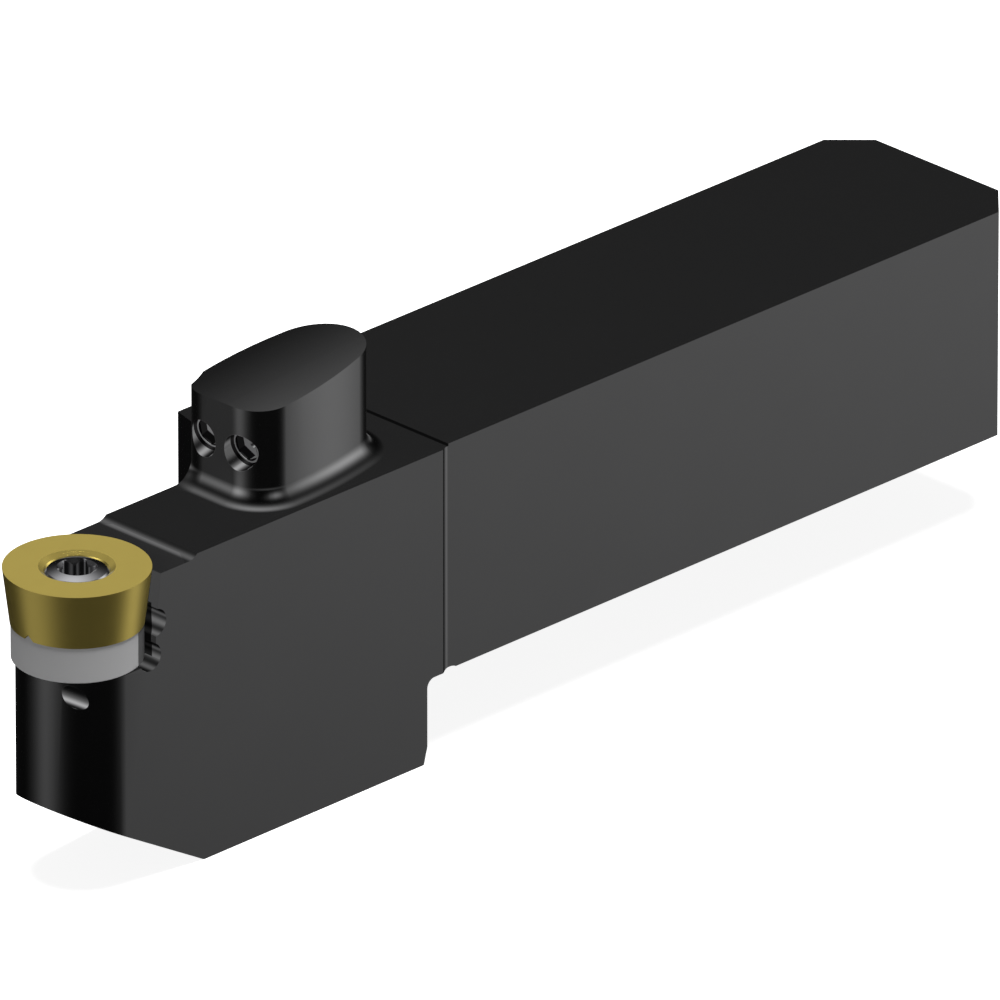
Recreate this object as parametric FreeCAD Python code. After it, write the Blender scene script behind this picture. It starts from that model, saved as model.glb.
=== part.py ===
import FreeCAD, Part
import math
import os
from FreeCAD import Rotation, Vector

# Turning tool holder for a round positive insert, with through coolant.
# Millimetres. The origin is the middle of the shank's bottom face, +Z is up,
# +X runs from the head to the shank's rear end, and -Y is the head's plain side.

# Shank
shank_length = 66.6
shank_width = 20.0
shank_height = 20.0
shank_rear_chamfer = 3.0

# Run-out between shank and head
head_top_drop = 0.2
side_step = 0.25
run_out_ahead = 0.4
run_out_behind = 0.4
relief_ahead = 0.2
relief_width = 1.5
relief_depth = 0.2

# Head, with lengths counted forward from the shank's front end
head_below_shank = 7.43
head_rear_setback = 2.2
head_rear_fillet = 0.8
head_heel_depth = 0.4
head_heel_height = 1.5
shoulder_length = 10.3
shoulder_lean = 15.0
shoulder_root_radius = 10.4
shoulder_flat = 0.3
blade_back = 0.1
nose_radius = 5.2
nose_behind_insert = 0.17
nose_rise_start = 27.4
nose_rise_angle = 29.6
step_start = 28.03
step_run_out = 0.97
step_depth = 0.4

# Insert. Every size named side, here and below, counts from the shank's plain side.
insert_forward = 36.2
insert_side = 5.1
insert_sink = 0.37
insert_diameter = 12.0
insert_thickness = 4.76
insert_clearance_angle = 7.0
insert_hole = 4.4
insert_mouth = 6.18
insert_mouth_depth = 0.32
insert_seat_cone = 5.36
insert_seat_depth = 1.9
rail_width = 1.0
rail_height = 0.5

# Shim and its hollow screw
shim_diameter = 10.68
shim_thickness = 3.1
shim_edge_chamfer = 0.08
shim_hole = 5.2
shim_screw_head = 6.6
shim_screw_head_height = 1.3
shim_screw_head_sink = 0.2
shim_screw_thread = 5.0
shim_screw_length = 7.5
shim_screw_hex = 3.5
shim_screw_hex_depth = 2.4

# Insert screw
screw_thread = 3.5
screw_length = 11.0
screw_head_sink = 0.38
screw_dome = 0.18
screw_tip_chamfer = 0.4
lobe_outer = 3.27
lobe_inner = 2.34
lobe_tip_radius = 0.27
lobe_depth = 1.7

# Pocket for insert and shim
pocket_wall_behind = 4.08
pocket_relief_radius = 1.2
upper_relief_back = 0.04
upper_relief_height = 0.35
lower_relief_back = 0.63
lower_relief_height = 0.62

# Coolant boss on top of the head
boss_front = 19.0
boss_rear_centre = 7.62
boss_rear_side = 7.07
boss_rear_radius = 4.15
boss_corner_sides = (1.97, 10.95)
boss_corner_radii = (3.04, 3.14)
boss_wall_radii = (37.1, 30.8)
boss_height = 8.23
boss_top_angle = 4.5
boss_crown_radius = 50.0
boss_crown_side = 5.6
boss_foot_radius = 1.5

# Nozzles, plain side first, and their bores in the boss
nozzle_bore = 3.05
nozzle_height = 4.3
nozzle_sides = (4.31, 8.34)
nozzle_toe_in = (0.0, 4.0)
nozzle_dip = 12.0
nozzle_recess = 1.0
nozzle_length = 4.6
nozzle_rim_chamfer = 0.15
nozzle_hex = 2.4
nozzle_hex_depth = 0.8
nozzle_jet = 1.0
nozzle_feed = 2.0

# Coolant passages
gallery_diameter = 5.0
inlet_thread = 8.57
inlet_depth = 10.0
inlet_mouth = 10.0
riser_forward = 8.2
riser_side = 6.7
riser_diameter = 4.5
riser_roof = 1.6
underfeed_diameter = 3.0
underfeed_depth = 3.0
underfeed_end_forward = 19.0
underfeed_end_side = 2.9
jet_diameter = 1.6
jet_forward = 39.8
jet_side = 1.6
jet_below_top = 9.65
jet_rise_angle = 32.0

# Plugs that close the drilled ends of the passages
riser_plug_thread = 6.0
riser_plug_length = 2.6
riser_plug_hex = 3.0
feed_plug_thread = 4.0
feed_plug_length = 3.0
feed_plug_hex = 2.0
plug_sink = 0.2
plug_hex_share = 0.55

# Clearances
seat_gap = 0.02
thread_gap = 0.02
rail_gap = 0.03

# Places worked out from the sizes above
overrun = 5.0
head_x = -shank_length / 2
plain_y = -shank_width / 2
back_y = shank_width / 2
head_top = shank_height - head_top_drop
insert_x = head_x - insert_forward
insert_y = plain_y + insert_side
insert_top = shank_height - insert_sink
insert_bottom = insert_top - insert_thickness
seat_z = insert_bottom - shim_thickness
insert_flare = math.tan(math.radians(insert_clearance_angle))
insert_bottom_radius = insert_diameter / 2 - insert_thickness * insert_flare
nose_z = -head_below_shank
boss_front_x = head_x - boss_front
riser_x = head_x - riser_forward
riser_y = plain_y + riser_side
underfeed_z = -underfeed_depth

Z = Vector(0, 0, 1)


def turned(outline, x=0.0, y=0.0, z=0.0):
    """Solid of revolution about the vertical through (x, y); outline is (radius, height) pairs."""
    points = [Vector(r, 0, h) for r, h in outline]
    face = Part.Face(Part.makePolygon(points + points[:1]))
    solid = face.revolve(Vector(0, 0, 0), Z, 360)
    solid.translate(Vector(x, y, z))
    return solid


def prism(points, z_low, z_high):
    """Upright prism over a closed outline in plan."""
    corners = [Vector(p.x, p.y, z_low) for p in points]
    face = Part.Face(Part.makePolygon(corners + corners[:1]))
    return face.extrude(Vector(0, 0, z_high - z_low))


def side_prism(points, y_low, y_high):
    """Prism across the tool over a closed outline of (x, z) pairs."""
    corners = [Vector(x, y_low, z) for x, z in points]
    face = Part.Face(Part.makePolygon(corners + corners[:1]))
    return face.extrude(Vector(0, y_high - y_low, 0))


def hexagon(across_flats, z_low, z_high):
    """Upright hexagonal prism on the Z axis."""
    corner = across_flats / math.sqrt(3)
    angles = [math.radians(60 * i) for i in range(6)]
    return prism([Vector(corner * math.cos(a), corner * math.sin(a)) for a in angles], z_low, z_high)


def plan_point(centre, radius, degrees):
    """Point on a circle in plan."""
    a = math.radians(degrees)
    return centre + Vector(radius * math.cos(a), radius * math.sin(a), 0)


def tangent_point(outside, centre, radius, side):
    """Where the line from an outside point touches a circle in plan; side picks one of the two."""
    away = outside - centre
    toward = math.degrees(math.atan2(away.y, away.x))
    return plan_point(centre, radius, toward + side * math.degrees(math.acos(radius / away.Length)))


def fillet_upright(solid, corner, radius):
    """Round the upright edge that stands on one corner of the plan."""
    def stands_there(edge):
        ends = [v.Point for v in edge.Vertexes]
        return len(ends) == 2 and all(math.hypot(p.x - corner.x, p.y - corner.y) < 1e-6 for p in ends)
    return solid.makeFillet(radius, [e for e in solid.Edges if stands_there(e)])


def aimed(solid, origin, direction):
    """Move a solid made on the Z axis so that its axis leaves origin along direction."""
    solid.Placement = FreeCAD.Placement(origin, Rotation(Z, direction))
    return solid


def drill(start, end, diameter, cone=True):
    """Drilled passage from start to end, with the drill's point beyond the end."""
    run = end - start
    hole = Part.makeCylinder(diameter / 2, run.Length, start, run)
    if cone:
        hole = hole.fuse(Part.makeCone(diameter / 2, 0, diameter * 0.3, end, run))
    return hole


def make_shank():
    """Square shank with its rear corners cut off and its front end let down to the head's top."""
    c = shank_rear_chamfer
    rear_x = shank_length / 2
    plan = [Vector(head_x, plain_y), Vector(rear_x - c, plain_y), Vector(rear_x, plain_y + c),
            Vector(rear_x, back_y - c), Vector(rear_x - c, back_y), Vector(head_x, back_y)]
    shank = prism(plan, 0, shank_height)
    top = Part.makeBox(run_out_behind + overrun, shank_width, head_top_drop + overrun,
                       Vector(head_x - overrun, plain_y, head_top))
    return shank.cut(top)


def relief_groove():
    """Shallow round-bottomed groove across the underside where the shank leaves the head."""
    radius = (relief_width ** 2 / 4 + relief_depth ** 2) / (2 * relief_depth)
    middle_x = head_x - relief_ahead + relief_width / 2
    centre = Vector(middle_x, plain_y - overrun, relief_depth - radius)
    return Part.makeCylinder(radius, shank_width + 2 * overrun, centre, Vector(0, 1, 0))


def head_plan_solid(z_low, z_high):
    """Head in plan: a narrow blade with a round nose, widened to the shank by a leaning shoulder."""
    lean = math.tan(math.radians(shoulder_lean))
    side_start = Vector(head_x - run_out_ahead, plain_y - side_step, 0)
    nose = Vector(insert_x + nose_behind_insert, side_start.y + nose_radius, 0)
    side_end = Vector(nose.x, side_start.y, 0)
    outer = Vector(head_x - shoulder_length, back_y, 0)
    root = Vector(outer.x - (back_y - blade_back) * lean, blade_back, 0)
    back_end = tangent_point(root, nose, nose_radius, 1)
    step_run = run_out_ahead + run_out_behind
    step_radius = (step_run ** 2 + side_step ** 2) / (2 * side_step)
    step_end = Vector(head_x + run_out_behind, plain_y, 0)
    step_centre = Vector(step_end.x, plain_y - step_radius, 0)
    half_turn = math.degrees(math.asin(step_run / step_radius)) / 2
    step_middle = plan_point(step_centre, step_radius, 90 + half_turn)
    inside = [Vector(step_end.x, 0, 0), Vector(head_x, 0, 0), Vector(head_x, back_y, 0)]
    edges = [Part.Arc(step_end, step_middle, side_start).toShape(),
             Part.makeLine(side_start, side_end),
             Part.Arc(side_end, Vector(nose.x - nose_radius, nose.y, 0), back_end).toShape(),
             Part.makeLine(back_end, root),
             Part.makeLine(root, outer),
             Part.makeLine(outer, inside[2]),
             Part.makeLine(inside[2], inside[1]),
             Part.makeLine(inside[1], inside[0]),
             Part.makeLine(inside[0], step_end)]
    solid = Part.Face(Part.Wire(edges)).extrude(Vector(0, 0, z_high - z_low))
    solid.translate(Vector(0, 0, z_low))
    half_corner = (back_end - root).getAngle(outer - root) / 2
    room = ((outer - root).Length - shoulder_flat) * math.tan(half_corner)
    return fillet_upright(solid, root, min(shoulder_root_radius, room))


def below_shank_cut():
    """Room behind the head under the shank: its inner corner is rounded, the head's heel set back."""
    x = head_x - head_rear_setback
    low = nose_z - overrun
    heel_x = x - head_heel_depth * (head_heel_height + overrun) / head_heel_height
    y_low, y_high = plain_y - overrun, back_y + overrun
    room = side_prism([(heel_x, low), (x, nose_z + head_heel_height), (x, 0), (overrun, 0),
                       (overrun, low)], y_low, y_high)
    corner = [e for e in room.Edges
              if all(abs(v.X - x) < 1e-6 and abs(v.Z) < 1e-6 for v in e.Vertexes)]
    return room.makeFillet(head_rear_fillet, corner)


def nose_underside_cut():
    """Slope that rises under the nose."""
    start_x = head_x - nose_rise_start
    reach = insert_forward + nose_radius + overrun - nose_rise_start
    rise = reach * math.tan(math.radians(nose_rise_angle))
    outline = [(start_x, nose_z), (start_x - reach, nose_z + rise), (start_x - reach, nose_z - 1),
               (start_x, nose_z - 1)]
    return side_prism(outline, plain_y - overrun, back_y + overrun)


def top_step_cut():
    """Lower face behind the insert, with a round run-out that ends in a sharp edge."""
    low = head_top - step_depth
    radius = (step_run_out ** 2 + step_depth ** 2) / (2 * step_depth)
    x = head_x - step_start - step_run_out
    far = insert_x - nose_radius - overrun
    y_low, y_high = plain_y - overrun, back_y + overrun
    face = side_prism([(far, low), (x, low), (x, head_top + 1), (far, head_top + 1)], y_low, y_high)
    run_out = Part.makeCylinder(radius, y_high - y_low, Vector(x, y_low, low + radius), Vector(0, 1, 0))
    return face.fuse(run_out)


def pocket_cut():
    """Seat for shim and insert: flat wall ends, a round back and two relief bores."""
    wall_top_x = insert_x + pocket_wall_behind
    lower_face = head_top - step_depth
    wall_x = wall_top_x - (lower_face - insert_bottom) * insert_flare
    over_x = wall_top_x + overrun * insert_flare
    far = insert_x - nose_radius - overrun
    y_low, y_high = plain_y - overrun, back_y + overrun
    sides = side_prism([(far, seat_z), (wall_x, seat_z), (wall_x, insert_bottom),
                        (over_x, lower_face + overrun), (far, lower_face + overrun)], y_low, y_high)
    r_low = insert_bottom_radius + seat_gap
    r_high = r_low + (insert_thickness + 1) * insert_flare
    r_shim = shim_diameter / 2 + seat_gap
    back = turned([(0, seat_z), (r_shim, seat_z), (r_shim, insert_bottom), (r_low, insert_bottom),
                   (r_high, insert_top + 1), (0, insert_top + 1)], insert_x, insert_y)
    cut = sides.fuse(back)
    for behind, height in ((upper_relief_back, insert_bottom + upper_relief_height),
                           (lower_relief_back, seat_z + lower_relief_height)):
        centre = Vector(wall_x - behind, y_low, height)
        cut = cut.fuse(Part.makeCylinder(pocket_relief_radius, y_high - y_low, centre, Vector(0, 1, 0)))
    return cut


def boss_wall(corner, rear, radius, side):
    """Bulging wall of the boss in plan, from a front corner to where it runs into the rear arc."""
    across = rear - corner
    reach = radius - boss_rear_radius
    along = (radius ** 2 - reach ** 2 + across.Length ** 2) / (2 * across.Length)
    away = Vector(-across.y, across.x, 0) * (side * math.sqrt(radius ** 2 - along ** 2) / across.Length)
    centre = corner + across * (along / across.Length) + away
    end = rear + (rear - centre).normalize() * boss_rear_radius
    middle = centre + ((corner + end) * 0.5 - centre).normalize() * radius
    return Part.Arc(corner, middle, end).toShape(), end


def boss_outline():
    """Outline of the coolant boss in plan, and its two front corners, the plain side's first."""
    rear = Vector(head_x - boss_rear_centre, plain_y + boss_rear_side, 0)
    plain, back = [Vector(boss_front_x, plain_y + side, 0) for side in boss_corner_sides]
    plain_wall, plain_end = boss_wall(plain, rear, boss_wall_radii[0], 1)
    back_wall, back_end = boss_wall(back, rear, boss_wall_radii[1], -1)
    arc = Part.Arc(plain_end, rear + Vector(boss_rear_radius, 0, 0), back_end).toShape()
    return Part.Wire([plain_wall, arc, back_wall, Part.makeLine(back, plain)]), (plain, back)


def boss_crown():
    """Long cylinder whose upper side is the boss's top: it leans up to the rear and falls to both sides."""
    lean = math.radians(boss_top_angle)
    along = Vector(math.cos(lean), 0, math.sin(lean))
    out = Vector(-math.sin(lean), 0, math.cos(lean))
    crest = Vector(boss_front_x, plain_y + boss_crown_side, boss_height)
    start = crest - out * boss_crown_radius - along * overrun
    return Part.makeCylinder(boss_crown_radius, boss_front + 2 * overrun, start, along)


def make_boss():
    """Boss over the nozzles: upright walls, crowned top and a rounded foot on a plate of the head."""
    wire, corners = boss_outline()
    tall = boss_height + overrun
    boss = Part.Face(wire).extrude(Vector(0, 0, tall))
    for corner, radius in zip(corners, boss_corner_radii):
        boss = fillet_upright(boss, corner, radius)
    boss = boss.common(boss_crown())
    plate = Part.makeBox(boss_front + 2 * overrun, shank_width + 2 * overrun, 1,
                         Vector(boss_front_x - overrun, plain_y - overrun, -1))
    footed = plate.fuse(boss)
    base = [e for e in footed.Edges if is_boss_base(e, plate)]
    footed = footed.makeFillet(boss_foot_radius, base)
    footed.translate(Vector(0, 0, head_top))
    return footed.common(head_plan_solid(head_top - 1, head_top + tall))


def is_boss_base(edge, plate):
    """True for the edges where the boss stands on its plate."""
    box = edge.BoundBox
    inner = plate.BoundBox
    flat = abs(box.ZMin) < 1e-6 and abs(box.ZMax) < 1e-6
    return flat and box.XMin > inner.XMin + 1 and box.XMax < inner.XMax - 1 and \
        box.YMin > inner.YMin + 1 and box.YMax < inner.YMax - 1


def nozzle_axes():
    """Mouth and inward direction of each nozzle bore."""
    dip = math.radians(nozzle_dip)
    axes = []
    for side, toe in zip(nozzle_sides, nozzle_toe_in):
        toe = math.radians(toe)
        inward = Vector(math.cos(dip) * math.cos(toe), math.cos(dip) * math.sin(toe), math.sin(dip))
        axes.append((Vector(boss_front_x, plain_y + side, head_top + nozzle_height), inward))
    return axes


def nozzle_bores():
    """Threaded bores for the nozzles and the feeds that join them to the riser."""
    bores = []
    for mouth, inward in nozzle_axes():
        start = mouth - inward * overrun
        seat = mouth + inward * (nozzle_recess + nozzle_length)
        feed_end = mouth + inward * (boss_front - riser_forward)
        bores.append(drill(start, seat, nozzle_bore, cone=False))
        bores.append(drill(seat - inward, feed_end, nozzle_feed))
    return bores


def inlet_passage():
    """Threaded coolant inlet in the shank's rear end and the gallery to the riser."""
    mid_z = shank_height / 2
    rear = Vector(shank_length / 2, 0, mid_z)
    forward = Vector(-1, 0, 0)
    thread = drill(rear, rear + forward * inlet_depth, inlet_thread)
    chamfer = (inlet_mouth - inlet_thread) / 2
    mouth = Part.makeCone(inlet_mouth / 2, inlet_thread / 2, chamfer, rear, forward)
    gallery = drill(rear, Vector(riser_x - riser_diameter / 4, 0, mid_z), gallery_diameter)
    return [thread, mouth, gallery]


def underfeed_line():
    """Start on the head's rear face and end of the drilling that feeds the nose outlet."""
    end = Vector(head_x - underfeed_end_forward, plain_y + underfeed_end_side, underfeed_z)
    riser = Vector(riser_x, riser_y, underfeed_z)
    back = riser - end
    start = end + back * ((head_x - head_rear_setback - end.x) / back.x)
    return start, end


def lower_passages():
    """Riser, underfeed and nose outlet, with the threads for their plugs."""
    bottom = Vector(riser_x, riser_y, nose_z)
    boss_rise = (boss_front - riser_forward) * math.tan(math.radians(boss_top_angle))
    roof = head_top + boss_height + boss_rise - riser_roof
    riser = drill(bottom, Vector(riser_x, riser_y, roof), riser_diameter, cone=False)
    plug_seat = riser_plug_length + plug_sink
    riser_thread = drill(bottom, bottom + Z * plug_seat, riser_plug_thread, cone=False)
    start, end = underfeed_line()
    forward = (end - start).normalize()
    underfeed = drill(start, end, underfeed_diameter)
    feed_seat = start + forward * (feed_plug_length + plug_sink)
    feed_thread = drill(start - forward * overrun / 2, feed_seat, feed_plug_thread, cone=False)
    rise = math.radians(jet_rise_angle)
    mouth = Vector(head_x - jet_forward, plain_y + jet_side, shank_height - jet_below_top)
    outward = Vector(-math.cos(rise), 0, math.sin(rise))
    run = (jet_forward - underfeed_end_forward) / math.cos(rise)
    jet = drill(mouth + outward * overrun, mouth - outward * run, jet_diameter)
    return [riser, riser_thread, underfeed, feed_thread, jet]


def make_holder_body():
    """Shank, head and boss machined from one bar, with pocket and coolant passages."""
    head = head_plan_solid(nose_z, head_top)
    head = head.cut([below_shank_cut(), nose_underside_cut(), top_step_cut()])
    body = head.fuse([make_shank(), make_boss()]).removeSplitter().cut(relief_groove())
    tapped = drill(Vector(insert_x, insert_y, seat_z + 1),
                   Vector(insert_x, insert_y, seat_z - shim_screw_length), shim_screw_thread)
    cuts = [pocket_cut(), tapped] + nozzle_bores() + inlet_passage() + lower_passages()
    for cut in cuts:
        body = body.cut(cut)
    return body


def rail(width, height, z):
    """Triangular rail along the tool under the insert's middle."""
    x_low = insert_x - insert_diameter
    points = [Vector(x_low, insert_y - width / 2, z), Vector(x_low, insert_y + width / 2, z),
              Vector(x_low, insert_y, z + height)]
    face = Part.Face(Part.makePolygon(points + points[:1]))
    return face.extrude(Vector(2 * insert_diameter, 0, 0))


def make_insert():
    """Round insert: clearance on its side, a seat for the screw and a rail groove underneath."""
    hole = insert_hole / 2
    cone = insert_seat_cone / 2
    t = insert_thickness
    body = turned([(hole, 0), (insert_bottom_radius, 0), (insert_diameter / 2, t),
                   (insert_mouth / 2, t), (cone, t - insert_mouth_depth), (hole, t - insert_seat_depth)],
                  insert_x, insert_y, insert_bottom)
    return body.cut(rail(rail_width, rail_height, insert_bottom))


def make_shim():
    """Round shim with a rail on top and a sunk seat for its screw."""
    hole = shim_hole / 2
    outer = shim_diameter / 2
    c = shim_edge_chamfer
    t = shim_thickness
    seat = shim_screw_head / 2 + thread_gap
    seat_height = t - shim_screw_head_height - shim_screw_head_sink
    body = turned([(hole, 0), (outer - c, 0), (outer, c), (outer, t), (seat, t), (seat, seat_height),
                   (hole, seat_height)], insert_x, insert_y, seat_z)
    ridge = rail(rail_width - 2 * rail_gap, rail_height - rail_gap, insert_bottom)
    round_edge = Part.makeCylinder(outer, rail_height, Vector(insert_x, insert_y, insert_bottom))
    middle = Part.makeCylinder(seat, rail_height, Vector(insert_x, insert_y, insert_bottom))
    return body.fuse(ridge.common(round_edge).cut(middle)).removeSplitter()


def make_shim_screw():
    """Hollow screw that holds the shim and takes the insert screw's thread."""
    head = shim_screw_head / 2
    thread = shim_screw_thread / 2 - thread_gap
    bore = screw_thread / 2 + thread_gap
    head_top_z = insert_bottom - shim_screw_head_sink
    under_head = head_top_z - shim_screw_head_height
    tip = seat_z - shim_screw_length + shim_screw_thread * 0.1
    body = turned([(bore, tip), (thread - screw_tip_chamfer, tip), (thread, tip + screw_tip_chamfer),
                   (thread, under_head), (head, under_head), (head, head_top_z), (bore, head_top_z)],
                  insert_x, insert_y)
    socket = hexagon(shim_screw_hex, head_top_z - shim_screw_hex_depth, head_top_z + 1)
    socket.translate(Vector(insert_x, insert_y, 0))
    return body.cut(socket)


def six_lobe_socket(depth):
    """Six-lobed socket below z = 0: round tips joined by round flanks that bulge inward."""
    tip = lobe_tip_radius
    a = lobe_outer / 2 - tip
    h = lobe_inner / 2
    c = math.cos(math.radians(30))
    flank = (a * a + h * h - 2 * a * c * h - tip * tip) / (2 * (tip + a * c - h))
    origin = Vector(0, 0, 0)
    tips = [plan_point(origin, a, 60 * i) for i in range(6)]
    flanks = [plan_point(origin, h + flank, 60 * i + 30) for i in range(6)]
    def joint(t, f):
        return t + (f - t) * (tip / (f - t).Length)
    edges = []
    for i in range(6):
        before, after = joint(tips[i], flanks[i - 1]), joint(tips[i], flanks[i])
        following = joint(tips[(i + 1) % 6], flanks[i])
        edges.append(Part.Arc(before, plan_point(origin, a + tip, 60 * i), after).toShape())
        edges.append(Part.Arc(after, plan_point(origin, h, 60 * i + 30), following).toShape())
    socket = Part.Face(Part.Wire(edges)).extrude(Vector(0, 0, depth + 1))
    socket.translate(Vector(0, 0, -depth))
    return socket


def make_insert_screw():
    """Countersunk insert screw with a domed head and a six-lobed socket."""
    rim = insert_seat_cone / 2 - seat_gap
    neck = insert_hole / 2 - seat_gap
    thread = screw_thread / 2
    rim_z = -screw_head_sink
    cone_z = -insert_seat_depth
    tip = rim_z - screw_length
    radius = (rim ** 2 + screw_dome ** 2) / (2 * screw_dome)
    dome_z = rim_z + screw_dome
    edge_band = insert_mouth_depth + 0.1
    profile = [Vector(0, 0, tip), Vector(thread - screw_tip_chamfer, 0, tip),
               Vector(thread, 0, tip + screw_tip_chamfer), Vector(thread, 0, cone_z - neck + thread),
               Vector(neck, 0, cone_z), Vector(rim - seat_gap, 0, -edge_band), Vector(rim - seat_gap, 0, rim_z)]
    half = math.asin((rim - seat_gap) / radius) / 2
    crown = Vector(radius * math.sin(half), 0, dome_z - radius * (1 - math.cos(half)))
    edges = [Part.makeLine(p, q) for p, q in zip(profile, profile[1:])]
    edges.append(Part.Arc(profile[-1], crown, Vector(0, 0, dome_z)).toShape())
    edges.append(Part.makeLine(Vector(0, 0, dome_z), profile[0]))
    body = Part.Face(Part.Wire(edges)).revolve(Vector(0, 0, 0), Z, 360)
    socket = six_lobe_socket(lobe_depth)
    socket.translate(Vector(0, 0, rim_z))
    screw = body.cut(socket)
    screw.translate(Vector(insert_x, insert_y, insert_top))
    return screw


def make_nozzle(mouth, inward):
    """Screwed nozzle: chamfered rim, hexagon socket and a jet hole through it."""
    radius = nozzle_bore / 2 - thread_gap
    jet = nozzle_jet / 2
    feed = nozzle_feed / 2
    c = nozzle_rim_chamfer
    taper_start = nozzle_length / 2
    body = turned([(jet, 0), (radius - c, 0), (radius, c), (radius, nozzle_length),
                   (feed, nozzle_length), (feed, taper_start), (jet, taper_start - feed + jet)])
    body = body.cut(hexagon(nozzle_hex, -1, nozzle_hex_depth))
    return aimed(body, mouth + inward * nozzle_recess, inward)


def make_plug(thread, length, hex_size, origin, inward):
    """Threaded plug with a hexagon socket, sunk just below its face."""
    radius = thread / 2 - thread_gap
    c = thread * 0.08
    body = turned([(0, 0), (radius - c, 0), (radius, c), (radius, length - c), (radius - c, length),
                   (0, length)])
    body = body.cut(hexagon(hex_size, -1, length * plug_hex_share))
    return aimed(body, origin + inward * plug_sink, inward)


def make_riser_plug():
    """Plug under the head that closes the riser."""
    return make_plug(riser_plug_thread, riser_plug_length, riser_plug_hex,
                     Vector(riser_x, riser_y, nose_z), Z)


def make_feed_plug():
    """Plug in the head's rear face that closes the underfeed."""
    start, end = underfeed_line()
    forward = (end - start).normalize()
    slope_room = forward * (feed_plug_thread / 2 * abs(forward.y / forward.x))
    return make_plug(feed_plug_thread, feed_plug_length - slope_room.Length, feed_plug_hex,
                     start + slope_room, forward)


plain_axis, back_axis = nozzle_axes()
parts = {
    "holder_body": make_holder_body(),
    "insert": make_insert(),
    "shim": make_shim(),
    "shim_screw": make_shim_screw(),
    "insert_screw": make_insert_screw(),
    "nozzle_plain_side": make_nozzle(*plain_axis),
    "nozzle_back_side": make_nozzle(*back_axis),
    "riser_plug": make_riser_plug(),
    "feed_plug": make_feed_plug(),
}

os.makedirs("parts", exist_ok=True)
for name, shape in parts.items():
    shape.exportStep(f"parts/{name}.step")
    box = shape.BoundBox
    print(f"{name}: solids {len(shape.Solids)}, valid {shape.isValid()}, volume {shape.Volume:.2f}, "
          f"x {box.XMin:.2f}..{box.XMax:.2f}, y {box.YMin:.2f}..{box.YMax:.2f}, "
          f"z {box.ZMin:.2f}..{box.ZMax:.2f}")
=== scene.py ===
# Turning tool holder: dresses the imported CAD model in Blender 4.5, metres throughout
import math
import bpy
import numpy as np
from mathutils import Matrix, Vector


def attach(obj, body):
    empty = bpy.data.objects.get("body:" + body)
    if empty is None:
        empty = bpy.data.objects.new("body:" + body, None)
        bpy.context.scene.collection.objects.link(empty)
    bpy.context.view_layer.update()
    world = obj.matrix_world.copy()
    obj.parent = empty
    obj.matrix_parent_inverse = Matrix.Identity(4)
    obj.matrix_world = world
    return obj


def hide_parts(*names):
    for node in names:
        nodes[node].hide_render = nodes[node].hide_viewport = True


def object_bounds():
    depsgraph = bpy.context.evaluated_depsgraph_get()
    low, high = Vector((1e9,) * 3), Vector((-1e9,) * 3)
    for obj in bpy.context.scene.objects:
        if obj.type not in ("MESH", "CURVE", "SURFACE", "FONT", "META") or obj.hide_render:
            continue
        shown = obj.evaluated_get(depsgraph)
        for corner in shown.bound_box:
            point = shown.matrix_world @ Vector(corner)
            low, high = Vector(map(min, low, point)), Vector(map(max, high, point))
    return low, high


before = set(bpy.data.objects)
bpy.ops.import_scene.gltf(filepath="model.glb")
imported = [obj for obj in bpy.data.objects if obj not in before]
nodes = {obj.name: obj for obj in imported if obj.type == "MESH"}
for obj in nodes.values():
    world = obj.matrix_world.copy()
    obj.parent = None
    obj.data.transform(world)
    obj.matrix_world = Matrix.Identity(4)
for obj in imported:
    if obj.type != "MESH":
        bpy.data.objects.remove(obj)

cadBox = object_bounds()
scene = bpy.context.scene
mm = 0.001
print("frame loaded:", len(nodes), "nodes")


# Camera
cameraSet = {"azimuth": -44.969, "elevation": 25.042, "distance": 2.929, "lens": 1315.9,
             "lookAt": (-31.460 * mm, -14.462 * mm, 16.026 * mm), "clip": (0.1, 20.0)}


def compass(azimuth, elevation):
    # unit vector from the object to a place seen at that azimuth and elevation, azimuth 0 on the -Y side
    a, e = math.radians(azimuth), math.radians(elevation)
    return Vector((math.sin(a) * math.cos(e), -math.cos(a) * math.cos(e), math.sin(e)))


def makeCamera():
    # place = lookAt + distance times the unit vector back from it, turned to look at it
    data = bpy.data.cameras.new("camera")
    data.lens = cameraSet["lens"]
    data.clip_start, data.clip_end = cameraSet["clip"]
    camera = bpy.data.objects.new("camera", data)
    scene.collection.objects.link(camera)
    back = compass(cameraSet["azimuth"], cameraSet["elevation"])
    camera.location = Vector(cameraSet["lookAt"]) + back * cameraSet["distance"]
    camera.rotation_mode = "QUATERNION"
    camera.rotation_quaternion = (-back).to_track_quat("-Z", "Y")
    scene.camera = camera


makeCamera()
scene.view_settings.view_transform = "Standard"
print("camera made")


# Shader maths: a Wire is a node's output that adds Math nodes when values are worked out with it
class Wire:
    def __init__(self, bench, socket):
        self.bench, self.socket = bench, socket

    def maths(self, operation, *values):
        node = self.bench.node("ShaderNodeMath", {"operation": operation}, dict(enumerate(values)))
        return self.bench.wire(node, 0)

    def __add__(self, other):
        return self.maths("ADD", self, other)

    def __radd__(self, other):
        return self.maths("ADD", other, self)

    def __sub__(self, other):
        return self.maths("SUBTRACT", self, other)

    def __rsub__(self, other):
        return self.maths("SUBTRACT", other, self)

    def __mul__(self, other):
        return self.maths("MULTIPLY", self, other)

    def __rmul__(self, other):
        return self.maths("MULTIPLY", other, self)

    def exp(self):
        return self.maths("EXPONENT", self)

    def size(self):
        return self.maths("ABSOLUTE", self)

    def root(self):
        return self.maths("SQRT", self)

    def below(self, limit):
        return self.maths("LESS_THAN", self, limit)

    def above(self, limit):
        return self.maths("GREATER_THAN", self, limit)


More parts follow.
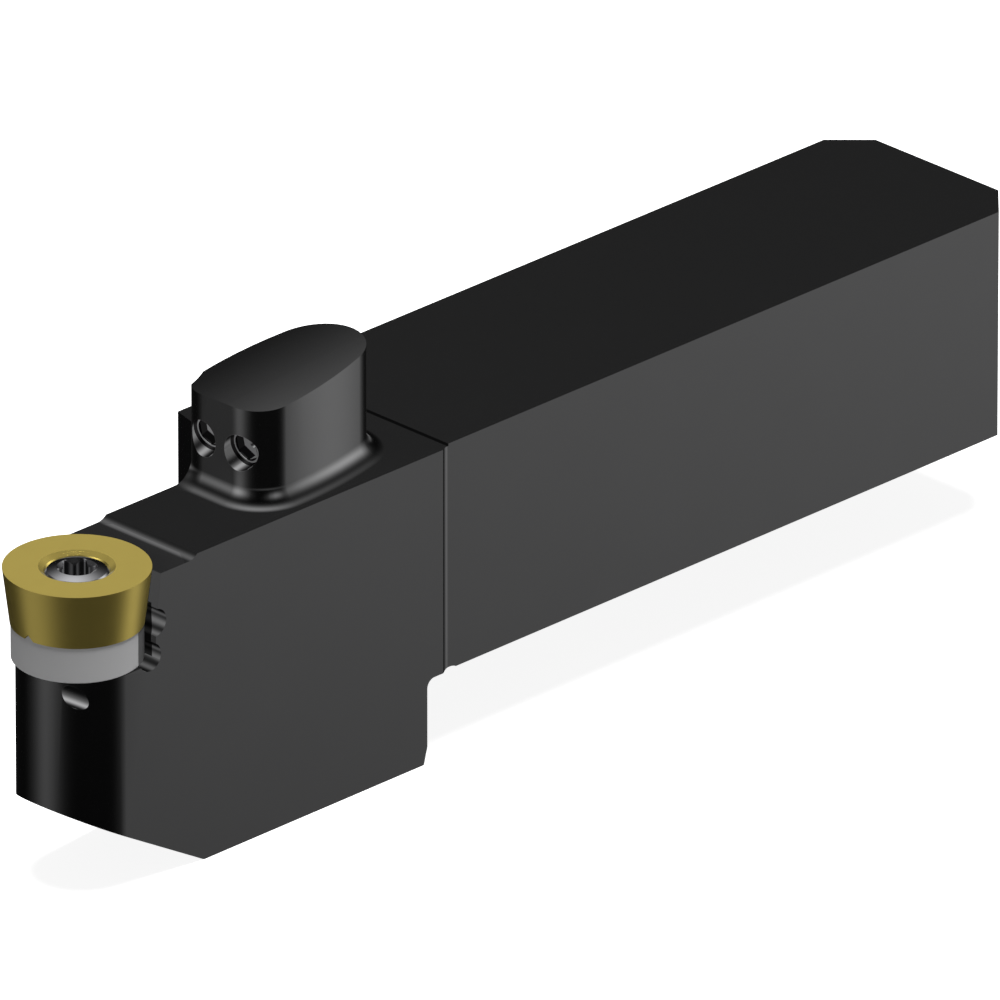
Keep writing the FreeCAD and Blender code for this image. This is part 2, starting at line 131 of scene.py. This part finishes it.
class Bench:
    # one node tree being wired up
    def __init__(self, tree):
        self.tree = tree
        tree.nodes.clear()

    def node(self, kind, settings=None, sockets=None):
        made = self.tree.nodes.new(kind)
        for name, value in (settings or {}).items():
            setattr(made, name, value)
        for name, value in (sockets or {}).items():
            if isinstance(value, Wire):
                self.tree.links.new(value.socket, made.inputs[name])
            else:
                made.inputs[name].default_value = value
        return made

    def wire(self, node, name):
        return Wire(self, node.outputs[name])

    def objectPlace(self):
        return self.wire(self.node("ShaderNodeTexCoord"), "Object")

    def parts(self, vector):
        split = self.node("ShaderNodeSeparateXYZ", {}, {0: vector})
        return [self.wire(split, name) for name in "XYZ"]

    def tinted(self, color, tone):
        scaled = self.node("ShaderNodeVectorMath", {"operation": "SCALE"}, {0: color[:3], "Scale": tone})
        return self.wire(scaled, "Vector")

    def noise(self, scale, detail):
        made = self.node("ShaderNodeTexNoise", {}, {"Vector": self.objectPlace(), "Scale": scale,
                                                    "Detail": detail})
        return self.wire(made, "Fac")


# Studio: a white surround and a pale floor, with soft lights and two low strips in dark surroundings, which
# glossy rays see in place of the white
studioSet = {"lights": [{"azimuth": 60.6, "elevation": 7.1, "strength": 2.267, "tightness": 14.19},
                        {"azimuth": -109.6, "elevation": 11.7, "strength": 2.10, "tightness": 12.11},
                        {"azimuth": 143.4, "elevation": 61.6, "strength": 1.633, "tightness": 13.15},
                        {"azimuth": 62.1, "elevation": -29.0, "strength": 0.70, "tightness": 20.0},
                        {"azimuth": -110.8, "elevation": -18.7, "strength": 0.21, "tightness": 20.17},
                        {"azimuth": -103.0, "elevation": -42.0, "strength": 0.22, "tightness": 15.0},
                        {"azimuth": -140.0, "elevation": -48.0, "strength": 0.92, "tightness": 45.0},
                        {"azimuth": 180.0, "elevation": 12.0, "strength": 0.25, "tightness": 24.0},
                        {"azimuth": 4.0, "elevation": 28.0, "strength": 1.1, "tightness": 22.0}],
             "strips": [{"azimuth": -20.0, "elevation": -12.5, "strength": 0.29, "tightness": 2.5,
                         "thin": 100.0},
                        {"azimuth": 158.0, "elevation": -12.5, "strength": 0.66, "tightness": 6.0,
                         "thin": 100.0}],
             "dim": 0.014, "fill": 0.12}


def makeWorld():
    # glossy rays see dim + the sum of strength e^(tightness (cos of the angle to the light - 1)), less
    # thin (difference in height)^2 in a strip's exponent; camera rays see white, all others see the fill
    world = bpy.data.worlds.new("studio")
    scene.world = world
    world.use_nodes = True
    world.cycles.sampling_method = "NONE"
    bench = Bench(world.node_tree)
    towards = bench.wire(bench.node("ShaderNodeTexCoord"), "Generated")
    rays = bench.node("ShaderNodeLightPath")
    seen = studioSet["dim"]
    for light in studioSet["lights"]:
        middle = compass(light["azimuth"], light["elevation"])
        facing = bench.node("ShaderNodeVectorMath", {"operation": "DOT_PRODUCT"}, {0: towards, 1: middle})
        lobe = ((bench.wire(facing, "Value") - 1.0) * light["tightness"]).exp()
        seen = lobe * light["strength"] + seen
    for strip in studioSet["strips"]:
        low = compass(strip["azimuth"], strip["elevation"])
        facing = bench.node("ShaderNodeVectorMath", {"operation": "DOT_PRODUCT"}, {0: towards, 1: low})
        off = bench.parts(towards)[2] - low.z
        wide = (bench.wire(facing, "Value") - 1.0) * strip["tightness"] - off * off * strip["thin"]
        seen = wide.exp() * strip["strength"] + seen
    glossy = bench.wire(rays, "Is Glossy Ray")
    camera = bench.wire(rays, "Is Camera Ray")
    others = (1.0 - glossy) * (1.0 - camera)
    strength = glossy * seen + camera * 1.0 + others * studioSet["fill"]
    background = bench.node("ShaderNodeBackground", {}, {"Color": (1, 1, 1, 1), "Strength": strength})
    bench.node("ShaderNodeOutputWorld", {}, {"Surface": bench.wire(background, 0)})


lampSet = {"above": {"place": (-0.03, -0.05, 0.60), "size": 0.4, "power": 9.0}}


def makeLamps():
    # round lamps that face the place the camera looks at, and that no glossy or camera ray sees
    for name, lamp in lampSet.items():
        data = bpy.data.lights.new(name, "AREA")
        data.shape = "DISK"
        data.size = lamp["size"]
        data.energy = lamp["power"]
        made = bpy.data.objects.new(name, data)
        scene.collection.objects.link(made)
        made.location = lamp["place"]
        made.rotation_mode = "QUATERNION"
        aim = Vector(cameraSet["lookAt"]) - Vector(lamp["place"])
        made.rotation_quaternion = aim.to_track_quat("-Z", "Y")
        made.visible_glossy = False
        made.visible_camera = False


floorSet = {"half": 1.5, "matt": 0.45, "dull": 0.20, "glow": 0.9}


def makeFloor():
    # camera rays see a pale floor with the object's shadow, other rays a duller one
    half = floorSet["half"]
    z = cadBox[0].z
    mesh = bpy.data.meshes.new("floor")
    corners = [(-half, -half, z), (half, -half, z), (half, half, z), (-half, half, z)]
    mesh.from_pydata(corners, [], [(0, 1, 2, 3)])
    floor = bpy.data.objects.new("floor", mesh)
    scene.collection.objects.link(floor)
    material = bpy.data.materials.new("pale floor")
    material.use_nodes = True
    bench = Bench(material.node_tree)
    rays = bench.node("ShaderNodeLightPath")
    matt = bench.node("ShaderNodeBsdfDiffuse", {}, {"Color": (floorSet["matt"],) * 3 + (1,)})
    dull = bench.node("ShaderNodeBsdfDiffuse", {}, {"Color": (floorSet["dull"],) * 3 + (1,)})
    white = bench.node("ShaderNodeEmission", {}, {"Color": (1, 1, 1, 1), "Strength": floorSet["glow"]})
    both = bench.node("ShaderNodeAddShader", {}, {0: bench.wire(matt, 0), 1: bench.wire(white, 0)})
    seen = bench.node("ShaderNodeMixShader", {}, {0: bench.wire(rays, "Is Camera Ray"),
                                                  1: bench.wire(dull, 0), 2: bench.wire(both, 0)})
    bench.node("ShaderNodeOutputMaterial", {}, {"Surface": bench.wire(seen, 0)})
    mesh.materials.append(material)
    floor.visible_glossy = False


makeWorld()
makeLamps()
makeFloor()
print("studio made")


# Finishes
finishes = {
    "holder": {"color": (0.120, 0.120, 0.121), "metallic": 1.0, "roughness": 0.12, "edgeTint": 0.61,
               "mottle": 0.05, "grain": 0.03},
    "gold": {"color": (0.60, 0.47, 0.115), "metallic": 0.80, "roughness": 0.30, "edgeTint": 0.5,
             "mottle": 0.06, "grain": 0.08},
    "shim": {"color": (0.565, 0.565, 0.57), "metallic": 0.0, "roughness": 0.50, "edgeTint": 1.0,
             "mottle": 0.05, "grain": 0.10, "sheen": 0.12},
    "screw": {"color": (0.30, 0.30, 0.31), "metallic": 1.0, "roughness": 0.12, "edgeTint": 0.6,
              "mottle": 0.06, "grain": 0.04},
    "nozzle": {"color": (0.22, 0.22, 0.223), "metallic": 1.0, "roughness": 0.14, "edgeTint": 0.6,
               "mottle": 0.06, "grain": 0.04},
}
# painted light: side faces are painted lighter towards the shank's rear and top; painted shade: the run-out
# line between shank and head is painted dark, as the shade in the step there
holderTone = {"rise": 7.3, "alongShare": 0.33, "lineX": -32.9 * mm, "lineHalf": 0.06 * mm,
              "lineAbove": 19.79 * mm, "lineDark": 0.85}


def paintedSideLight(bench):
    # painted light and shade: tone = (1 + rise (alongShare x + z)(1 - the normal's height squared)) (1 -
    # dark on the line)
    x, y, z = bench.parts(bench.objectPlace())
    upright = bench.parts(bench.wire(bench.node("ShaderNodeTexCoord"), "Normal"))[2]
    paintedLift = 1.0 + (x * holderTone["alongShare"] + z) * holderTone["rise"] * (1.0 - upright * upright)
    line = (x - holderTone["lineX"]).size().below(holderTone["lineHalf"]) * z.above(holderTone["lineAbove"])
    return paintedLift * (1.0 - line * holderTone["lineDark"])


# drilled holes, each with its mouth, the direction into it and its radius, in mm
bores = {
    "plain side": {"mouth": (-52.30, -5.69, 24.10), "inward": (0.9781, 0.0, 0.2079), "radius": 1.56},
    "back side": {"mouth": (-52.30, -1.66, 24.10), "inward": (0.9758, 0.0682, 0.2079), "radius": 1.56},
    "nose": {"mouth": (-73.10, -8.40, 10.35), "inward": (0.8480, 0.0, -0.5299), "radius": 0.84},
}
# painted light and shade in the holes and the nozzles' sockets: depths in mm, the others shares of the tone
boreTone = {"paintedBright": 1.8, "from": -1.2, "to": 3.0, "ringFrom": 0.74, "ringDark": 0.94, "socketFrom": 1.02,
            "socketTo": 1.77, "socketDark": 0.95}


def boreDepth(bench, bore):
    # depth along the bore, and whether the point is near its mouth and within its radius,
    # |v|^2 - depth^2 < radius^2
    away = bench.node("ShaderNodeVectorMath", {"operation": "SUBTRACT"},
                      {0: bench.objectPlace(), 1: tuple(c * mm for c in bore["mouth"])})
    away = bench.wire(away, "Vector")
    along = bench.node("ShaderNodeVectorMath", {"operation": "DOT_PRODUCT"}, {0: away, 1: bore["inward"]})
    along = bench.wire(along, "Value")
    length = bench.wire(bench.node("ShaderNodeVectorMath", {"operation": "LENGTH"}, {0: away}), "Value")
    reach = along.above(boreTone["from"] * mm) * along.below(boreTone["to"] * mm)
    return along, reach * (length * length - along * along).below((bore["radius"] * mm) ** 2)


def paintedBoreLight(bench):
    # painted light and shade: the holes' walls are painted lighter, and painted dark in the ring where a
    # nozzle sits: bright tone inside, times 1 - dark there
    inside, ring = 0.0, 0.0
    for name, bore in bores.items():
        along, within = boreDepth(bench, bore)
        inside = within + inside
        if name != "nose":
            ring = within * along.above(boreTone["ringFrom"] * mm) + ring
    return (1.0 + inside * (boreTone["paintedBright"] - 1.0)) * (1.0 - ring * boreTone["ringDark"])


def socketShade(bench):
    # painted shade: the nozzle's rim and socket walls are painted dark between two depths, its face and
    # socket floor stay light
    dark = 0.0
    for name in ("plain side", "back side"):
        along, inside = boreDepth(bench, bores[name])
        walls = along.above(boreTone["socketFrom"] * mm) * along.below(boreTone["socketTo"] * mm)
        dark = inside * walls + dark
    return 1.0 - dark * boreTone["socketDark"]


# painted light and shade in and near the insert's pocket: places in mm, the others shares of the tone
pocketTone = {"axis": (-69.50, -4.90), "socket": 1.66, "socketTop": 19.30, "socketDark": 0.45,
              "gap": 5.95, "gapTop": 16.7, "reach": 8.6, "bottom": 11.85, "top": 19.5, "side": -10.22,
              "paintedLift": 1.3, "gapDark": 0.9, "shimFrom": 21.0, "shimDark": 0.80, "mouth": 3.12,
              "mouthGloss": 0.14}


def pocketPlace(bench):
    # distance from the insert's axis, the place from it in plan, and the height
    x, y, z = bench.parts(bench.objectPlace())
    x, y = x - pocketTone["axis"][0] * mm, y - pocketTone["axis"][1] * mm
    return (x * x + y * y).root(), x, y, z


def paintedPocketLight(bench):
    # painted light and shade: inside the pocket the walls are painted a little lighter, and painted dark in
    # the gap close to insert and shim, where shade falls
    far, x, y, z = pocketPlace(bench)
    level = z.above(pocketTone["bottom"] * mm) * z.below(pocketTone["top"] * mm)
    behind = y.above((pocketTone["side"] - pocketTone["axis"][1]) * mm)
    inside = level * behind * far.below(pocketTone["reach"] * mm)
    close = far.below(pocketTone["gap"] * mm) * z.below(pocketTone["gapTop"] * mm)
    return 1.0 + inside * ((pocketTone["paintedLift"] - 1.0) * (1.0 - close) - close * pocketTone["gapDark"])


def lobeShade(bench):
    # painted shade: the insert screw's socket is painted darker than its head: tone = 1 - dark inside its
    # radius and below its top
    far, x, y, z = pocketPlace(bench)
    inside = far.below(pocketTone["socket"] * mm) * z.below(pocketTone["socketTop"] * mm)
    return 1.0 - inside * pocketTone["socketDark"]


# pipe thread in the shank's rear end, as relief in the material: pitch, height and place in mm
threadSet = {"pitch": 0.907, "height": 0.35, "axisZ": 10.0, "from": 23.6, "to": 32.4, "radius": 4.6}


def threadBump(bench):
    # inside the bore, height = x / pitch + angle / whole turn, folded back and forth into ridges
    x, y, z = bench.parts(bench.objectPlace())
    z = z - threadSet["axisZ"] * mm
    angle = y.maths("ARCTAN2", y, z)
    turns = x * (1.0 / (threadSet["pitch"] * mm)) + angle * (0.5 / math.pi)
    ridge = turns.maths("PINGPONG", turns, 0.5) * 2.0
    inside = (y * y + z * z).below((threadSet["radius"] * mm) ** 2)
    inside = inside * x.above(threadSet["from"] * mm) * x.below(threadSet["to"] * mm)
    bump = bench.node("ShaderNodeBump", {}, {"Height": ridge * inside, "Distance": threadSet["height"] * mm,
                                             "Strength": 1.0})
    return bench.wire(bump, "Normal")


def shimShade(bench):
    # painted shade: the shim's side is painted dark as the pocket's shadow where it turns into the pocket,
    # from one bearing over a quarter turn
    far, x, y, z = pocketPlace(bench)
    a = math.radians(pocketTone["shimFrom"])
    past = (x * math.cos(a) + y * math.sin(a)).above(0.0)
    ahead = (x * math.sin(a) - y * math.cos(a)).above(0.0)
    return 1.0 - past * ahead * pocketTone["shimDark"]


noiseSet = {"grain": {"scale": 900.0, "detail": 4.0}, "mottle": {"scale": 160.0, "detail": 3.0}}


def makeFinish(name):
    # base colour = colour times tone, roughness = roughness + grain (noise - 1/2)
    finish = finishes[name]
    material = bpy.data.materials.new(name)
    material.use_nodes = True
    bench = Bench(material.node_tree)
    grain = bench.noise(**noiseSet["grain"])
    mottle = bench.noise(**noiseSet["mottle"])
    tone = 1.0 + finish["mottle"] * (mottle - 0.5)
    # painted light and shade enter the tone here: the holder's side, bore and pocket light and shade, the
    # nozzle's and screw's socket shade, the shim's pocket shadow
    if name == "holder":
        tone = tone * paintedSideLight(bench) * paintedBoreLight(bench) * paintedPocketLight(bench)
    if name == "nozzle":
        tone = tone * socketShade(bench)
    if name == "shim":
        tone = tone * shimShade(bench)
    if name == "screw":
        tone = tone * lobeShade(bench)
    roughness = finish["roughness"] + finish["grain"] * (grain - 0.5)
    if name == "gold":
        inMouth = pocketPlace(bench)[0].below(pocketTone["mouth"] * mm)
        roughness = roughness + inMouth * (pocketTone["mouthGloss"] - finish["roughness"])
    edge = finish["edgeTint"]
    surface = {"Normal": threadBump(bench)} if name == "holder" else {}
    shader = bench.node("ShaderNodeBsdfPrincipled", {}, {
        "Base Color": bench.tinted(finish["color"], tone), "Metallic": finish["metallic"],
        "Roughness": roughness, "Specular Tint": (edge, edge, edge, 1),
        "Specular IOR Level": finish.get("sheen", 0.5), **surface})
    bench.node("ShaderNodeOutputMaterial", {}, {"Surface": bench.wire(shader, 0)})
    return material


dress = {"holder_body": "holder", "insert": "gold", "shim": "shim", "shim_screw": "screw",
         "insert_screw": "screw", "nozzle_plain_side": "nozzle", "nozzle_back_side": "nozzle",
         "riser_plug": "screw", "feed_plug": "screw"}


smoothSet = {"merge": 0.002 * mm, "angle": 22, "weight": 75}


def makeSmoothing():
    # merges the loose triangles and shades them smooth, with edges over the angle kept sharp
    group = bpy.data.node_groups.new("smooth by angle", "GeometryNodeTree")
    group.interface.new_socket("Geometry", in_out="INPUT", socket_type="NodeSocketGeometry")
    group.interface.new_socket("Geometry", in_out="OUTPUT", socket_type="NodeSocketGeometry")
    bench = Bench(group)
    source = bench.node("NodeGroupInput")
    merged = bench.node("GeometryNodeMergeByDistance", {}, {"Geometry": bench.wire(source, 0),
                                                           "Distance": smoothSet["merge"]})
    angle = bench.node("GeometryNodeInputMeshEdgeAngle")
    sharp = bench.node("FunctionNodeCompare", {"data_type": "FLOAT", "operation": "GREATER_THAN"},
                       {0: bench.wire(angle, "Unsigned Angle"), 1: math.radians(smoothSet["angle"])})
    faces = bench.node("GeometryNodeSetShadeSmooth", {"domain": "FACE"},
                       {"Geometry": bench.wire(merged, 0), "Shade Smooth": True})
    edges = bench.node("GeometryNodeSetShadeSmooth", {"domain": "EDGE"},
                       {"Geometry": bench.wire(faces, 0), "Selection": bench.wire(sharp, 0),
                        "Shade Smooth": False})
    bench.node("NodeGroupOutput", {}, {0: bench.wire(edges, 0)})
    return group


def addSmoothing(piece):
    # smooths a piece's shading and keeps the piece out of the others' reflections
    shade = piece.modifiers.new("smooth", "NODES")
    shade.node_group = smoothing
    weigh = piece.modifiers.new("weigh", "WEIGHTED_NORMAL")
    weigh.keep_sharp = True
    weigh.mode = "FACE_AREA_WITH_ANGLE"
    weigh.weight = smoothSet["weight"]
    piece.visible_glossy = False


smoothing = makeSmoothing()
made = {name: makeFinish(name) for name in finishes}
for name, piece in nodes.items():
    piece.data.materials.clear()
    piece.data.materials.append(made[dress[name]])
    addSmoothing(piece)
print("finishes given to", len(nodes), "nodes")


# Insert screw: domed head with a six-lobed socket under a round mouth, sizes in mm from the insert's top
screwSet = {"place": (-69.50, -4.90, 19.63), "edge": 2.42, "edgeDrop": 0.30, "rim": 2.58, "rimDrop": 0.55,
            "rimEdge": 0.05, "domeRadius": 7.4, "domeRows": 10, "mouth": 1.64, "mouthSlope": 0.75,
            "mouthDrop": 0.03, "lobes": (1.62, 1.17), "turn": 25.0, "socketFloor": -2.08,
            "floorShares": (0.6, 0.97), "wallShares": (0.02, 0.35, 0.7, 1.0), "mouthShares": (0.5, 1.0),
            "neck": 2.17, "neckDepth": -1.9, "thread": 1.75, "threadTop": -2.32, "tip": -11.38,
            "tipChamfer": 0.4, "columns": 144}


def ringSkin(name, radii, heights, centre, axis=(0, 0, 1)):
    # rings round an axis w, point = centre + r cos t u + r sin t v + z w, with a fan at each end
    rows, columns = radii.shape
    turn = np.arange(columns) * 2 * math.pi / columns
    rings = np.stack([radii * np.cos(turn), radii * np.sin(turn), heights], axis=-1).reshape(-1, 3)
    ends = np.array([[0, 0, heights[0].mean()], [0, 0, heights[-1].mean()]])
    w = np.array(axis) / np.linalg.norm(axis)
    u = np.cross((0, 1, 0), w)
    u = u / np.linalg.norm(u)
    points = (np.vstack([rings, ends]) @ np.array([u, np.cross(w, u), w]) + np.array(centre)) * mm
    index = np.arange(rows * columns).reshape(rows, columns)
    after = np.roll(index, -1, axis=1)
    quads = np.stack([index[:-1], index[1:], after[1:], after[:-1]], axis=-1).reshape(-1, 4)
    first, last = rows * columns, rows * columns + 1
    start = np.stack([np.full(columns, first), index[0], after[0]], axis=-1)
    finish = np.stack([np.full(columns, last), after[-1], index[-1]], axis=-1)
    mesh = bpy.data.meshes.new(name)
    mesh.from_pydata(points.tolist(), [], quads.tolist() + start.tolist() + finish.tolist())
    piece = bpy.data.objects.new(name, mesh)
    scene.collection.objects.link(piece)
    return piece


def makeInsertScrew():
    # socket radius = mean + half the lobes' height times cos 6t; dome height = sqrt(R^2 - r^2) less its
    # value at the dome's edge, less the edge's drop
    s = screwSet
    turn = np.arange(s["columns"]) * 2 * math.pi / s["columns"] - math.radians(s["turn"])
    outer, inner = s["lobes"]
    lobed = (outer + inner) / 2 + (outer - inner) / 2 * np.cos(6 * turn)
    flat = np.ones(s["columns"])

    def dome(r):
        centre = -s["edgeDrop"] - math.sqrt(s["domeRadius"] ** 2 - s["edge"] ** 2)
        return centre + math.sqrt(s["domeRadius"] ** 2 - r ** 2)

    mouthZ = dome(s["mouth"])
    wallTop = mouthZ - (s["mouth"] - lobed) * s["mouthSlope"] - s["mouthDrop"]
    rows = [(lobed * k, flat * s["socketFloor"]) for k in s["floorShares"]]
    rows += [(lobed, s["socketFloor"] * (1 - k) + wallTop * k) for k in s["wallShares"]]
    rows += [(lobed * (1 - k) + s["mouth"] * k, wallTop * (1 - k) + mouthZ * k) for k in s["mouthShares"]]
    rows += [(flat * r, flat * dome(r)) for r in np.linspace(s["mouth"], s["edge"], s["domeRows"])[1:]]
    outside = [(s["rim"], -s["rimDrop"]), (s["rim"], -s["rimDrop"] - s["rimEdge"]),
               (s["neck"], s["neckDepth"]), (s["thread"], s["threadTop"]),
               (s["thread"], s["tip"] + s["tipChamfer"]),
               (s["thread"] - s["tipChamfer"], s["tip"])]
    rows += [(flat * r, flat * z) for r, z in outside]
    radii, heights = (np.array(side) for side in zip(*rows))
    return ringSkin("insertScrew", radii, heights, s["place"])


# Nozzles: hexagon socket under a round mouth, chamfered rim, sizes in mm from the nozzle's face
nozzleSet = {"recess": 1.0, "hex": 2.12, "socketFloor": -0.80, "wallFoot": 0.02, "wallTop": -0.1,
             "mouth": 1.24, "face": 1.38, "rim": 1.49, "chamfer": 0.13, "jet": 0.5, "jetDepth": -2.0,
             "length": 4.55, "columns": 96}


def makeNozzle(name, bore):
    # hexagon radius = half the width across flats / cos of the angle to the nearest flat's middle
    s = nozzleSet
    turn = np.arange(s["columns"]) * 2 * math.pi / s["columns"]
    sixth = math.pi / 3
    six = s["hex"] / 2 / np.cos(np.mod(turn, sixth) - sixth / 2)
    flat = np.ones(s["columns"])
    rows = [(flat * s["jet"], flat * s["jetDepth"]), (flat * s["jet"], flat * s["socketFloor"])]
    rows += [(six, flat * z) for z in (s["socketFloor"], s["socketFloor"] + s["wallFoot"], s["wallTop"])]
    outside = [(s["mouth"], 0.0), (s["face"], 0.0), (s["rim"], -s["chamfer"]), (s["rim"], -s["length"] / 2),
               (s["rim"], -s["length"])]
    rows += [(flat * r, flat * z) for r, z in outside]
    radii, heights = (np.array(side) for side in zip(*rows))
    inward = np.array(bore["inward"])
    return ringSkin(name, radii, heights, np.array(bore["mouth"]) + inward * s["recess"], -inward)


def fitPiece(piece, finish, node):
    # gives a new piece its finish and puts it in the place of a node of the frame
    piece.data.materials.append(made[finish])
    addSmoothing(piece)
    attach(piece, "root")
    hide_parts(node)


fitPiece(makeInsertScrew(), "screw", "insert_screw")
fitPiece(makeNozzle("nozzlePlainSide", bores["plain side"]), "nozzle", "nozzle_plain_side")
fitPiece(makeNozzle("nozzleBackSide", bores["back side"]), "nozzle", "nozzle_back_side")
print("insert screw and nozzles made")
